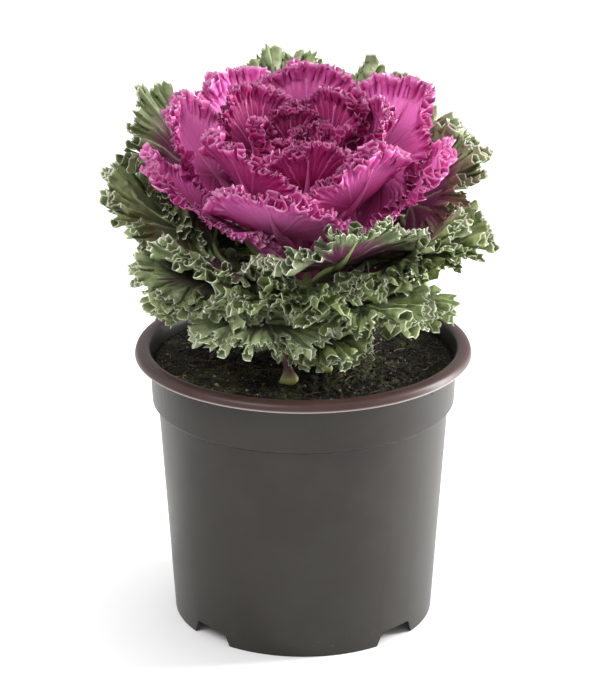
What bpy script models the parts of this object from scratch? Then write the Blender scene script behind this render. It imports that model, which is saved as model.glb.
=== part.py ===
"""An ornamental kale in a round nursery pot: pot, potting soil, stem and leaves.

The pot stands on its skirt at z = 0 with its axis on +Z, and the head leans towards -Y.
Each leaf is drawn on its own bowl of a nested family of bowls round the stem, from the
lowest and widest to the innermost, so that neighbours stay clear of each other. The
leaves follow one another round the stem by the golden angle.
"""

import math
import random

import bmesh
import bpy
from mathutils import Vector

MM = 0.001
MERGE = 0.01 * MM

# Pot
POT_SIDES = 40
RIM_RADIUS = 95.0 * MM
RIM_TOP = 160.5 * MM
BASE_RADIUS = 73.9 * MM
WALL_TOP_RADIUS = 82.0 * MM
STEP_HEIGHT = 127.0 * MM
BAND_RADIUS_LOW = 85.4 * MM
BAND_RADIUS_HIGH = 86.4 * MM
BAND_TOP = RIM_TOP - 7.0 * MM
WALL = 1.7 * MM
FLOOR_UNDER = 9.5 * MM
FLOOR_THICKNESS = 2.0 * MM
NOTCHES = 4
NOTCH_HEIGHT = 8.5 * MM
NOTCH_WIDTH_LOW = 28.0 * MM
NOTCH_WIDTH_HIGH = 21.0 * MM
NOTCH_PAST_WALL = 8.0 * MM
NOTCH_UNDER_FOOT = 2.0 * MM
SKIRT_WALL = 2.2 * MM
FOOT_CHAMFER = 0.5 * MM
DRAIN_HOLES = 8
DRAIN_RADIUS = 5.0 * MM
DRAIN_CIRCLE = 56.0 * MM
DRAIN_SIDES = 10
DRAIN_CUTTER_DEPTH = 4 * FLOOR_THICKNESS

# The rim's lip from its inner edge over the top to its turned-down outer edge, as
# (inwards from the rim's radius, down from the rim's top)
LIP = (
    (7.6 * MM, 1.0 * MM),
    (6.2 * MM, 0.0),
    (3.4 * MM, 0.6 * MM),
    (0.9 * MM, 2.6 * MM),
    (0.0, 5.2 * MM),
    (1.3 * MM, 5.4 * MM),
    (4.6 * MM, 3.0 * MM),
    (8.1 * MM, 4.6 * MM),
)

# Materials, as (name, colour, roughness)
POT_PLASTIC = ("pot plastic", (0.055, 0.054, 0.047), 0.42)
POTTING_SOIL = ("potting soil", (0.016, 0.012, 0.009), 0.95)
GREEN_LEAF = ("green leaf", (0.10, 0.19, 0.07), 0.55)
MAGENTA_LEAF = ("magenta leaf", (0.52, 0.05, 0.26), 0.5)

# Soil
CLEARANCE = 0.3 * MM
SOIL_TOP = 150.0 * MM
SOIL_BUMP = 1.6 * MM
SOIL_RINGS = (16.0 * MM, 32.0 * MM, 50.0 * MM, 68.0 * MM)
STEM_HOLE_DEPTH = 28.0 * MM

# Stem, in the head's own frame: heights are above the soil, before the head leans
STEM_SIDES = 16
STEM_ROWS = 3
STEM_FOOT_RADIUS = 9.0 * MM
STEM_RADIUS_LOW = 12.0 * MM
STEM_RADIUS_HIGH = 6.5 * MM
STEM_SHOULDER = 67.0 * MM
STEM_TIP = 72.0 * MM
CROWN_FOOT = 40.0 * MM
ROOT_SUNK = 3.0 * MM

# Place and lean of the head
HEAD_X = -1.5 * MM
HEAD_Y = 5.0 * MM
LEAN = math.radians(13.0)
LEAN_PIVOT = 70.0 * MM
LEAN_FULL_AT = 95.0 * MM

# Leaves, counted from the lowest to the innermost
LEAVES = 42
GREEN_LEAVES = 23
GOLDEN_ANGLE = math.radians(137.508)
FRONT_RIGHT_LEAF = 29
FRONT_RIGHT_AZIMUTH = math.radians(-51.0)
SEED = 20
PROFILE_STEPS = 48
LEAF_EDGE = 0.8 * MM
LEAF_RIB = 2.2 * MM
PETIOLE_KEEL = 3.4 * MM
PETIOLE_EDGE = 1.4 * MM
FAN_HALF_ANGLE = math.radians(104.0)
BACK_RISE = 0.08
GREEN_TOP_LIMIT = 136.0 * MM
GREEN_ROLL = 0.12
HEART_ROLL = 0.08
MIDRIB_HANDLE = 0.38
FRILL_FROM = 0.4
FRILL_POWER = 1.5

# Random draws between two factors: of the fan's size, a crest's height, a margin point's
# reach and a green leaf's height
FAN_DRAW = (0.94, 1.06)
CREST_DRAW = (0.65, 1.2)
MARGIN_DRAW = (0.90, 1.0)
TOP_DRAW = (0.95, 1.04)

# Rows of points along the petiole, as (share of its length, width over its own width), and
# along the fan, as (share of its radius, margin steps between the row's points)
PETIOLE_ROWS = ((0.0, 1.0), (0.5, 1.0), (1.0, 1.2))
FAN_ROWS = ((0.36, 4), (0.68, 2), (1.0, 1))
MARGIN_STEP_UNIT = 8

# How the bowls change from the lowest leaf, at share 0, to the innermost, at share 1:
# (share, height on the stem, rise at the stem, reach, height of the margin, rise at the
# margin, fan radius, fan width over fan radius, petiole half width, frill, margin steps)
BOWLS = (
    (0.00, 9, 24, 78, 26, -26, 40, 0.92, 4.6, 4.4, 24),
    (0.10, 14, 30, 98, 47, -14, 46, 0.92, 4.6, 5.4, 24),
    (0.22, 20, 38, 109, 80, 10, 50, 0.92, 4.6, 6.4, 24),
    (0.36, 26, 46, 106, 111, 42, 56, 0.92, 4.4, 6.4, 24),
    (0.54, 32, 55, 97, 133, 61, 58, 0.92, 4.2, 5.4, 24),
    (0.56, 45, 62, 88, 138, 63, 52, 0.95, 4.0, 3.8, 24),
    (0.68, 50, 68, 72, 150, 76, 52, 0.98, 3.8, 3.4, 24),
    (0.71, 52, 69, 62, 154, 80, 50, 0.98, 3.8, 3.2, 24),
    (0.79, 56, 74, 44, 153, 86, 42, 0.98, 3.4, 2.8, 24),
    (0.90, 61, 79, 24, 146, 89, 30, 0.95, 2.8, 1.8, 16),
    (1.00, 66, 83, 8, 137, 90, 20, 0.80, 2.0, 1.0, 16),
)
BOWL_LENGTHS = (1, 3, 4, 6, 8, 9)
BOWL_ANGLES = (2, 5)


def clear_scene():
    for obj in list(bpy.data.objects):
        bpy.data.objects.remove(obj)


def material(name, colour, roughness):
    made = bpy.data.materials.new(name)
    made.use_nodes = True
    shader = made.node_tree.nodes["Principled BSDF"]
    shader.inputs["Base Color"].default_value = (*colour, 1.0)
    shader.inputs["Roughness"].default_value = roughness
    shader.inputs["Metallic"].default_value = 0.0
    return made


def new_object(name, bm, look):
    mesh = bpy.data.meshes.new(name)
    bm.to_mesh(mesh)
    bm.free()
    mesh.materials.append(look)
    obj = bpy.data.objects.new(name, mesh)
    bpy.context.scene.collection.objects.link(obj)
    return obj


def turned(profile, sides):
    """A closed solid of revolution about Z, from a profile that runs from axis to axis."""
    bm = bmesh.new()
    points = [bm.verts.new((radius, 0.0, height)) for radius, height in profile]
    edges = [bm.edges.new(pair) for pair in zip(points, points[1:])]
    bmesh.ops.spin(
        bm,
        geom=points + edges,
        cent=(0, 0, 0),
        axis=(0, 0, 1),
        angle=math.tau,
        steps=sides,
        use_merge=True,
    )
    bmesh.ops.remove_doubles(bm, verts=bm.verts, dist=MERGE)
    bmesh.ops.recalc_face_normals(bm, faces=bm.faces)
    return bm


def cutter(name, bm):
    obj = new_object(name, bm, bpy.data.materials["pot plastic"])
    obj.hide_render = True
    obj.display_type = "WIRE"
    return obj


def cut(target, tool):
    """Cuts the tool out of the target, and removes the tool."""
    modifier = target.modifiers.new(tool.name, "BOOLEAN")
    modifier.object = tool
    modifier.operation = "DIFFERENCE"
    modifier.solver = "EXACT"
    bpy.context.view_layer.objects.active = target
    with bpy.context.temp_override(object=target):
        bpy.ops.object.modifier_apply(modifier=modifier.name)
    bpy.data.objects.remove(tool)


def wall_radius(height):
    """The tapered wall's outer radius, below the step."""
    return BASE_RADIUS + (WALL_TOP_RADIUS - BASE_RADIUS) * height / STEP_HEIGHT


def lip_point(inwards, down):
    return RIM_RADIUS - inwards, RIM_TOP - down


def pot_inside():
    """The inside of the pot from the floor's middle to the rim's top, as (radius, height)."""
    floor = FLOOR_UNDER + FLOOR_THICKNESS
    return [
        (0.0, floor),
        (wall_radius(floor) - WALL, floor),
        (wall_radius(STEP_HEIGHT) - WALL, STEP_HEIGHT + WALL),
        (BAND_RADIUS_LOW - WALL, STEP_HEIGHT + 2 * WALL),
        (BAND_RADIUS_HIGH - WALL, BAND_TOP),
    ]


def pot_outside():
    """The outside from under the lip to the middle of the floor's underside."""
    foot = wall_radius(0.0)
    return [
        (BAND_RADIUS_HIGH, BAND_TOP),
        (BAND_RADIUS_LOW, STEP_HEIGHT + 0.7 * WALL),
        (wall_radius(STEP_HEIGHT), STEP_HEIGHT - 0.5 * WALL),
        (foot, 2 * FOOT_CHAMFER),
        (foot - FOOT_CHAMFER, 0.0),
        (foot - SKIRT_WALL, 0.0),
        (foot - SKIRT_WALL, FLOOR_UNDER),
        (0.0, FLOOR_UNDER),
    ]


def notch_cutter():
    """A trapezium across the pot's skirt, long enough to pass through its wall."""
    bm = bmesh.new()
    near, far = BASE_RADIUS - NOTCH_PAST_WALL, BASE_RADIUS + NOTCH_PAST_WALL
    low = -NOTCH_UNDER_FOOT
    spread = (NOTCH_WIDTH_LOW - NOTCH_WIDTH_HIGH) / 2 / NOTCH_HEIGHT
    half_low = NOTCH_WIDTH_LOW / 2 - spread * low
    half_high = NOTCH_WIDTH_HIGH / 2
    outline = [
        (-half_low, low),
        (half_low, low),
        (half_high, NOTCH_HEIGHT),
        (-half_high, NOTCH_HEIGHT),
    ]
    ends = [[bm.verts.new((x, y, z)) for y, z in outline] for x in (near, far)]
    bm.faces.new(ends[0][::-1])
    bm.faces.new(ends[1])
    for i in range(4):
        j = (i + 1) % 4
        bm.faces.new((ends[0][i], ends[0][j], ends[1][j], ends[1][i]))
    bmesh.ops.recalc_face_normals(bm, faces=bm.faces)
    return bm


def make_pot():
    lip = [lip_point(*place) for place in LIP]
    profile = pot_inside() + lip + pot_outside()
    pot = new_object("pot", turned(profile, POT_SIDES), material(*POT_PLASTIC))
    for n in range(NOTCHES):
        tool = cutter(f"notch {n}", notch_cutter())
        tool.rotation_euler.z = math.tau * (n + 0.5) / NOTCHES
        bpy.context.view_layer.update()
        cut(pot, tool)
    for n in range(DRAIN_HOLES):
        angle = math.tau * n / DRAIN_HOLES
        bm = bmesh.new()
        bmesh.ops.create_cone(
            bm,
            cap_ends=True,
            segments=DRAIN_SIDES,
            radius1=DRAIN_RADIUS,
            radius2=DRAIN_RADIUS,
            depth=DRAIN_CUTTER_DEPTH,
        )
        tool = cutter(f"drain {n}", bm)
        tool.location = (
            DRAIN_CIRCLE * math.cos(angle),
            DRAIN_CIRCLE * math.sin(angle),
            FLOOR_UNDER + FLOOR_THICKNESS / 2,
        )
        bpy.context.view_layer.update()
        cut(pot, tool)
    return pot


def make_soil():
    """The potting soil: it fills the pot, and has a plain hole for the stem's foot."""
    inside = pot_inside()
    outer = [(max(radius - CLEARANCE, 0.0), height) for radius, height in inside]
    outer[0] = (0.0, inside[0][1] + CLEARANCE)
    outer[1] = (inside[1][0] - CLEARANCE, inside[1][1] + CLEARANCE)
    slope = (outer[4][0] - outer[3][0]) / (outer[4][1] - outer[3][1])
    outer[4] = (outer[3][0] + slope * (SOIL_TOP - outer[3][1]), SOIL_TOP)
    hole_radius = STEM_RADIUS_LOW + 2 * CLEARANCE
    surface = [(radius, SOIL_TOP) for radius in reversed(SOIL_RINGS)]
    hole = [
        (hole_radius, SOIL_TOP),
        (STEM_FOOT_RADIUS + 2 * CLEARANCE, SOIL_TOP - STEM_HOLE_DEPTH),
        (0.0, SOIL_TOP - STEM_HOLE_DEPTH),
    ]
    bm = turned(outer + surface + hole, POT_SIDES)
    draw = random.Random(SEED)
    for vert in bm.verts:
        radius = math.hypot(vert.co.x, vert.co.y)
        on_top = abs(vert.co.z - SOIL_TOP) < MERGE
        if on_top and hole_radius + MM < radius < SOIL_RINGS[-1] + MM:
            vert.co.z += draw.uniform(-1.0, 1.0) * SOIL_BUMP
        if on_top or radius < hole_radius + MM:
            shift = 1 - smooth((radius - hole_radius) / (SOIL_RINGS[-1] - hole_radius))
            vert.co.x += HEAD_X * shift
            vert.co.y += HEAD_Y * shift
    return new_object("potting_soil", bm, material(*POTTING_SOIL))


def smooth(x):
    x = min(max(x, 0.0), 1.0)
    return x * x * (3 - 2 * x)


def leaned(x, y, height):
    """A point of the head's own frame, carried to the pot's frame as the head leans."""
    angle = LEAN * smooth(height / LEAN_FULL_AT)
    above = height - LEAN_PIVOT
    return Vector(
        (
            HEAD_X + x,
            HEAD_Y + y * math.cos(angle) - above * math.sin(angle),
            SOIL_TOP + LEAN_PIVOT + y * math.sin(angle) + above * math.cos(angle),
        )
    )


def stem_radius(height):
    share = min(max(height / STEM_SHOULDER, 0.0), 1.0)
    return STEM_RADIUS_LOW + (STEM_RADIUS_HIGH - STEM_RADIUS_LOW) * share


def stem_part(name, profile, look):
    """A length of the stem, turned from its profile and leaned with the head."""
    bm = turned(profile, STEM_SIDES)
    for vert in bm.verts:
        vert.co = leaned(*vert.co)
    return new_object(name, bm, look)


def stem_profile(low, high):
    """The stem's side between two heights, in equal lengths."""
    heights = [low + (high - low) * row / STEM_ROWS for row in range(STEM_ROWS + 1)]
    return [(stem_radius(height), height) for height in heights]


def lower_stem(look):
    """The stem that carries the green leaves, from its foot in the soil."""
    foot = -STEM_HOLE_DEPTH + CLEARANCE
    top = CROWN_FOOT - CLEARANCE
    profile = [(0.0, foot), (STEM_FOOT_RADIUS, foot)] + stem_profile(0.0, top) + [(0.0, top)]
    return stem_part("lower stem", profile, look)


def crown(look):
    """The top of the stem, which carries the heart's leaves."""
    profile = [(0.0, CROWN_FOOT)] + stem_profile(CROWN_FOOT, STEM_SHOULDER) + [(0.0, STEM_TIP)]
    return stem_part("crown", profile, look)


def bowl(share):
    """The bowl's own row of sizes at a share of the way from the lowest to the innermost."""
    after = next(i for i, row in enumerate(BOWLS) if row[0] >= share)
    before = max(after - 1, 0)
    low, high = BOWLS[before], BOWLS[after]
    part = (share - low[0]) / (high[0] - low[0]) if after else 0.0
    row = [a + (b - a) * part for a, b in zip(low, high)]
    for i in BOWL_LENGTHS:
        row[i] *= MM
    for i in BOWL_ANGLES:
        row[i] = math.radians(row[i])
    return row


class Leaf:
    """One leaf: the curve of its midrib, its fan, and the points of its surface."""

    def __init__(self, number):
        self.number = number
        self.azimuth = FRONT_RIGHT_AZIMUTH + GOLDEN_ANGLE * (number - FRONT_RIGHT_LEAF)
        share = number / (LEAVES - 1)
        (_, base, rise, reach, top, end_rise, fan, width, petiole, frill, steps) = bowl(share)
        draw = random.Random(SEED * 1000 + number)
        self.fan = fan * draw.uniform(*FAN_DRAW)
        self.width = width * draw.uniform(*FAN_DRAW)
        self.petiole = petiole
        self.steps = MARGIN_STEP_UNIT * round(steps / MARGIN_STEP_UNIT)
        self.crests = [frill * draw.uniform(*CREST_DRAW) for _ in range(self.steps + 1)]
        self.reaches = [draw.uniform(*MARGIN_DRAW) for _ in range(self.steps + 1)]
        green = number < GREEN_LEAVES
        self.roll = draw.uniform(-1.0, 1.0) * (GREEN_ROLL if green else HEART_ROLL)
        if green:
            back = max(math.sin(self.azimuth), 0.0)
            top = min(top * (1 + BACK_RISE * back), GREEN_TOP_LIMIT)
            top *= draw.uniform(*TOP_DRAW)
        self.midrib = self.curve(base, rise, reach, top, end_rise)

    def curve(self, base, rise, reach, top, end_rise):
        """Points of the midrib as (distance along it, radius, height, slope)."""
        start = (stem_radius(base) - ROOT_SUNK, base)
        end = (reach, top)
        handle = MIDRIB_HANDLE * math.dist(start, end)
        first = (start[0] + handle * math.cos(rise), start[1] + handle * math.sin(rise))
        second = (end[0] - handle * math.cos(end_rise), end[1] - handle * math.sin(end_rise))
        points, along = [], 0.0
        for step in range(PROFILE_STEPS + 1):
            a = step / PROFILE_STEPS
            b = 1 - a
            weights = (b**3, 3 * b * b * a, 3 * b * a * a, a**3)
            ends = (start, first, second, end)
            radius = sum(w * p[0] for w, p in zip(weights, ends))
            height = sum(w * p[1] for w, p in zip(weights, ends))
            if points:
                along += math.dist((radius, height), points[-1][1:3])
            points.append((along, radius, height))
        slopes = [
            math.atan2(q[2] - p[2], q[1] - p[1]) for p, q in zip(points, points[1:])
        ]
        slopes.append(slopes[-1])
        return [(*point, slope) for point, slope in zip(points, slopes)]

    @property
    def length(self):
        return self.midrib[-1][0]

    def on_midrib(self, along):
        """Radius, height and slope at a distance along the midrib, straight past its end."""
        if along >= self.length:
            _, radius, height, slope = self.midrib[-1]
            past = along - self.length
            return radius + past * math.cos(slope), height + past * math.sin(slope), slope
        place = max(along, 0.0)
        i = max(k for k, row in enumerate(self.midrib[:-1]) if row[0] <= place)
        low, high = self.midrib[i], self.midrib[i + 1]
        part = (place - low[0]) / (high[0] - low[0])
        return tuple(a + (b - a) * part for a, b in zip(low[1:], high[1:]))

    def point(self, along, across, lift):
        """The surface point that far along and across the leaf, lifted to its upper side."""
        radius, height, slope = self.on_midrib(along)
        turn = self.azimuth + across / radius
        radius -= lift * math.sin(slope)
        height += lift * math.cos(slope)
        return leaned(radius * math.cos(turn), radius * math.sin(turn), height)

    def fan_radius(self, angle):
        """The fan's length from the petiole's end, at an angle from the midrib."""
        side = math.sin(angle) ** 2
        return self.fan * (1 - side + side * self.width)

    def frill(self, column, ring):
        """The wave that turns over from one margin step to the next, dying away inwards."""
        sign = 1 if column % 2 == 0 else -1
        fade = smooth((ring - FRILL_FROM) / (1 - FRILL_FROM)) ** FRILL_POWER
        return sign * self.crests[column] * fade

    def petiole_row(self, share, grow):
        """Three points across the petiole, with its keel in the middle."""
        along = (self.length - self.fan) * share
        half = self.petiole * grow
        keel = PETIOLE_KEEL + (LEAF_RIB - PETIOLE_KEEL) * share
        edge = PETIOLE_EDGE + (LEAF_EDGE - PETIOLE_EDGE) * share
        return [(along, -half, 0.0, edge), (along, 0.0, 0.0, keel), (along, half, 0.0, edge)]

    def fan_row(self, ring, stride):
        """Points across the fan, one for each stride of margin steps."""
        row = []
        rib = LEAF_EDGE + (LEAF_RIB - LEAF_EDGE) * (1 - ring)
        for column in range(0, self.steps + 1, stride):
            angle = FAN_HALF_ANGLE * (2 * column / self.steps - 1)
            reach = self.fan_radius(angle) * ring
            if ring == 1.0:
                reach *= self.reaches[column]
            along = self.length - self.fan + reach * math.cos(angle)
            across = reach * math.sin(angle)
            lift = self.frill(column, ring) + self.roll * across * smooth(ring)
            row.append((along, across, lift, rib if 2 * column == self.steps else LEAF_EDGE))
        return row

    def rows(self):
        """The mid-surface in rows from the stem to the margin: (along, across, lift, thickness)."""
        petiole = [self.petiole_row(share, grow) for share, grow in PETIOLE_ROWS]
        return petiole + [self.fan_row(ring, stride) for ring, stride in FAN_ROWS]


def zip_rows(low, high):
    """Triangles between two rows of points with different counts, turning the same way."""
    triangles, i, j = [], 0, 0
    while i < len(low) - 1 or j < len(high) - 1:
        share_low = (i + 0.5) / (len(low) - 1) if i < len(low) - 1 else 2.0
        share_high = (j + 0.5) / (len(high) - 1) if j < len(high) - 1 else 2.0
        if share_high <= share_low:
            triangles.append((low[i], high[j + 1], high[j]))
            j += 1
        else:
            triangles.append((low[i], low[i + 1], high[j]))
            i += 1
    return triangles


def thickened(rows):
    """A closed solid from rows of (point, thickness): both faces are split alike."""
    bm = bmesh.new()
    flat, numbers = [], []
    for row in rows:
        numbers.append(list(range(len(flat), len(flat) + len(row))))
        flat.extend(row)
    triangles = []
    for low, high in zip(numbers, numbers[1:]):
        triangles.extend(zip_rows(low, high))
    normals = [Vector() for _ in flat]
    for a, b, c in triangles:
        face = (flat[b][0] - flat[a][0]).cross(flat[c][0] - flat[a][0])
        for corner in (a, b, c):
            normals[corner] += face.normalized()
    upper, lower = [], []
    for (point, thickness), normal in zip(flat, normals):
        offset = normal.normalized() * thickness / 2
        upper.append(bm.verts.new(point + offset))
        lower.append(bm.verts.new(point - offset))
    for a, b, c in triangles:
        bm.faces.new((upper[a], upper[b], upper[c]))
        bm.faces.new((lower[c], lower[b], lower[a]))
    edge = [row[0] for row in numbers[:-1]] + numbers[-1]
    edge += [row[-1] for row in reversed(numbers[:-1])] + numbers[0][-2:0:-1]
    for a, b in zip(edge, edge[1:] + edge[:1]):
        bm.faces.new((upper[a], lower[a], lower[b]))
        bm.faces.new((upper[a], lower[b], upper[b]))
    bmesh.ops.recalc_face_normals(bm, faces=bm.faces)
    return bm


def leaf_object(number, look):
    leaf = Leaf(number)
    rows = [
        [(leaf.point(along, across, lift), thickness) for along, across, lift, thickness in row]
        for row in leaf.rows()
    ]
    return new_object(f"leaf {number}", thickened(rows), look)


def drop_scraps(obj):
    """Keeps the largest connected body of the mesh, and drops any loose scrap."""
    bm = bmesh.new()
    bm.from_mesh(obj.data)
    waiting, bodies = set(bm.verts), []
    while waiting:
        body, front = set(), [waiting.pop()]
        while front:
            vert = front.pop()
            body.add(vert)
            beside = {edge.other_vert(vert) for edge in vert.link_edges} & waiting
            waiting -= beside
            front.extend(beside)
        bodies.append(body)
    bodies.sort(key=len)
    scraps = [vert for body in bodies[:-1] for vert in body]
    bmesh.ops.delete(bm, geom=scraps, context="VERTS")
    bm.to_mesh(obj.data)
    bm.free()


def fused(name, core, leaves):
    """Joins the leaves to the length of stem they grow from, as one solid."""
    group = bpy.data.collections.new(name)
    bpy.context.scene.collection.children.link(group)
    for leaf in leaves:
        group.objects.link(leaf)
    modifier = core.modifiers.new("leaves", "BOOLEAN")
    modifier.operation = "UNION"
    modifier.operand_type = "COLLECTION"
    modifier.collection = group
    modifier.solver = "MANIFOLD"
    bpy.context.view_layer.objects.active = core
    with bpy.context.temp_override(object=core):
        bpy.ops.object.modifier_apply(modifier=modifier.name)
    for leaf in leaves:
        bpy.data.objects.remove(leaf)
    bpy.data.collections.remove(group)
    drop_scraps(core)
    core.name = name
    return core


def make_plant():
    green = material(*GREEN_LEAF)
    magenta = material(*MAGENTA_LEAF)
    outer = [leaf_object(number, green) for number in range(GREEN_LEAVES)]
    fused("kale_green_leaves", lower_stem(green), outer)
    inner = [leaf_object(number, magenta) for number in range(GREEN_LEAVES, LEAVES)]
    fused("kale_heart", crown(magenta), inner)


def main():
    clear_scene()
    make_pot()
    make_soil()
    make_plant()


main()
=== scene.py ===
"""An ornamental kale in a nursery pot: moulded pot, potting soil, and every frilled leaf."""

import math
import random
from typing import NamedTuple

import bmesh
import bpy
import numpy as np
from bpy.props import FloatProperty, FloatVectorProperty, IntProperty, PointerProperty
from bpy.types import Operator, Panel, PropertyGroup
from mathutils import Euler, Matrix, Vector, noise


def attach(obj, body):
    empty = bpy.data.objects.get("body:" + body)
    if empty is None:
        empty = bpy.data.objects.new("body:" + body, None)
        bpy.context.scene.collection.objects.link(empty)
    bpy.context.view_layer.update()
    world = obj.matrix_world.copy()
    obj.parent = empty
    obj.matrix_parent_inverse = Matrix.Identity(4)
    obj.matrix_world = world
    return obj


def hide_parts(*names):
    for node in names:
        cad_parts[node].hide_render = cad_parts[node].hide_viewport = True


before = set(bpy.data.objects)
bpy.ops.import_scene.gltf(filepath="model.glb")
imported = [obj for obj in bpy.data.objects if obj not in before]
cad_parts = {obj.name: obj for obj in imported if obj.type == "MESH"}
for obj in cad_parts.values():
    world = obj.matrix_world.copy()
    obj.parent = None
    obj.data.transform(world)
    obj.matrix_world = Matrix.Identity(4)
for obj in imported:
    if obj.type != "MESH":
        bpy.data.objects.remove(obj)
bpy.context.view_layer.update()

bl_info = {
    "name": "Ornamental Kale in a Nursery Pot",
    "version": (1, 0, 0),
    "blender": (4, 5, 0),
    "location": "View3D > Sidebar > Kale",
    "description": "Builds a frilled ornamental kale, its potting soil and its pot",
    "category": "Object",
}

MM = 0.001

# Pot, as the part's source has it
RIM_RADIUS = 95.0 * MM
RIM_TOP = 160.5 * MM
BASE_RADIUS = 73.9 * MM
WALL_TOP_RADIUS = 82.0 * MM
STEP_HEIGHT = 127.0 * MM
BAND_RADIUS_LOW = 85.4 * MM
BAND_RADIUS_HIGH = 86.4 * MM
BAND_TOP = RIM_TOP - 7.0 * MM
WALL = 1.7 * MM
FLOOR_UNDER = 9.5 * MM
FLOOR_THICKNESS = 2.0 * MM
NOTCHES = 4
NOTCH_HEIGHT = 8.5 * MM
NOTCH_WIDTH_LOW = 28.0 * MM
NOTCH_WIDTH_HIGH = 21.0 * MM
DRAIN_HOLES = 8
DRAIN_RADIUS = 5.0 * MM
DRAIN_CIRCLE = 56.0 * MM

# Finer detail of the pot. The lip goes from its inside over its top to its underside, as
# (inwards from the rim's radius, down from its top, length of the rounded corner).
LIP = (
    (8.2 * MM, 0.4 * MM, 1.6 * MM),
    (4.6 * MM, 0.0, 2.0 * MM),
    (1.0 * MM, 1.4 * MM, 1.8 * MM),
    (0.0, 5.3 * MM, 0.5 * MM),
    (1.2 * MM, 5.5 * MM, 0.4 * MM),
    (2.2 * MM, 3.2 * MM, 0.8 * MM),
    (7.7 * MM, 3.4 * MM, 1.2 * MM),
)
BAND_LEDGE = 0.4 * MM
STEP_RISE = 1.2 * MM
STEP_DROP = 0.8 * MM
FLOOR_HUB = 1.0 * MM
CORNER_POINTS = 5
CORNER_LIMIT = 0.45
POT_SIDES = 144
SMOOTH_ANGLE = math.radians(38)
NOTCH_DEPTH = 16.0 * MM
NOTCH_BELOW = -2.0 * MM
NOTCH_CORNER = 1.6 * MM
DRAIN_SIDES = 24
DRAIN_CUT = 12.0 * MM
SEAM_ANGLE = math.radians(-153.5)
SEAM_HALF_ANGLES = (0.0015, 0.006)

# Soil, stem and leaves, as the part's source has them
SOIL_TOP = 150.0 * MM
STEM_RADIUS_LOW = 12.0 * MM
STEM_RADIUS_HIGH = 6.5 * MM
STEM_SHOULDER = 67.0 * MM
STEM_TIP = 72.0 * MM
ROOT_SUNK = 3.0 * MM
HEAD_X = -1.5 * MM
HEAD_Y = 5.0 * MM
LEAN = math.radians(13.0)
LEAN_PIVOT = 70.0 * MM
LEAN_FULL_AT = 95.0 * MM
LEAVES = 42
GREEN_LEAVES = 23
GOLDEN_ANGLE = math.radians(137.508)
FRONT_RIGHT_LEAF = 29
FRONT_RIGHT_AZIMUTH = math.radians(-51.0)
SEED = 20
PROFILE_STEPS = 48
FAN_HALF_ANGLE = math.radians(104.0)
GREEN_ROLL = 0.12
HEART_ROLL = 0.08
MIDRIB_HANDLE = 0.38
FRILL_POWER = 1.5
FAN_DRAW = (0.94, 1.06)
CREST_DRAW = (0.65, 1.2)
MARGIN_DRAW = (0.90, 1.0)
TOP_DRAW = (0.95, 1.04)
MARGIN_STEP_UNIT = 8

# How the bowls change from the lowest leaf, at share 0, to the innermost, at share 1:
# (share, height on the stem, rise at the stem, reach, height of the margin, rise at the
# margin, fan radius, fan width over fan radius, petiole half width, frill, margin steps)
BOWLS = (
    (0.00, 9, 24, 78, 26, -26, 40, 0.92, 4.6, 4.4, 24),
    (0.10, 14, 30, 98, 47, -14, 46, 0.92, 4.6, 5.4, 24),
    (0.22, 20, 38, 109, 80, 10, 50, 0.92, 4.6, 6.4, 24),
    (0.36, 26, 46, 106, 111, 42, 56, 0.92, 4.4, 6.4, 24),
    (0.54, 32, 55, 97, 133, 61, 58, 0.92, 4.2, 5.4, 24),
    (0.56, 45, 62, 88, 138, 63, 52, 0.95, 4.0, 3.8, 24),
    (0.68, 50, 68, 72, 150, 76, 52, 0.98, 3.8, 3.4, 24),
    (0.71, 52, 69, 62, 154, 80, 50, 0.98, 3.8, 3.2, 24),
    (0.79, 56, 74, 44, 153, 86, 42, 0.98, 3.4, 2.8, 24),
    (0.90, 61, 79, 24, 146, 89, 30, 0.95, 2.8, 1.8, 16),
    (1.00, 66, 83, 8, 137, 90, 20, 0.80, 2.0, 1.0, 16),
)
BOWL_LENGTHS = (1, 3, 4, 6, 8, 9)
BOWL_ANGLES = (2, 5)

# The leaves at the back rise more than the solids do, because their margins then bend back
BACK_RISE = 16.0 * MM
GREEN_TOP_LIMIT = 143.0 * MM

# Shares of the fan's radius where each part of a leaf's relief begins, or begins and ends
OUTLINE_FROM = 0.35
SWELL_FROM = 0.30
RECURVE_FROM = 0.45
PLEAT_RISE = (0.0, 0.30)
PLEAT_FADE = (0.55, 0.95)

# Margin steps between two draws of a random line along the margin
LOBE_STEPS = 1.3
NOTCH_STEPS = 1.1
SWELL_STEPS = 3.2

# Shape of the notches, pleats and bends: powers, middles, and how much they vary
NOTCH_POWER = 0.4
NOTCH_MIDDLE = 0.75
NOTCH_VARIES = 0.5
PLEAT_POWER = 0.6
PLEAT_MIDDLE = 0.7
RECURVE_POWER = 1.6
RECURVE_IN_FRONT = 0.25
DROOP_DRAW = (0.4, 1.3)
UPRIGHT_SHARES = (0.20, 0.45)
UPRIGHT_FINER = 0.8
FINE_LEAST = 0.75
FINE_FULL_FAN = 50.0 * MM

# Waves and teeth along a margin: how many lie between two draws of their drift and of their
# size, the drift in radians or in teeth, the size's middle and spread, and their own shape
WAVES_PER_DRIFT = 2.2
WAVE_DRIFT = 1.5
WAVES_PER_SIZE = 1.6
WAVE_SIZE = 0.72
WAVE_SIZE_VARIES = 0.55
WAVE_FADE_POWER = 1.3
TEETH_PER_DRIFT = 2.0
TOOTH_DRIFT = 1.2
TEETH_PER_SIZE = 1.2
TOOTH_SIZE = 0.8
TOOTH_SIZE_VARIES = 0.5
TOOTH_POWER = 1.2
TOOTH_MIDDLE = 0.4

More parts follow.
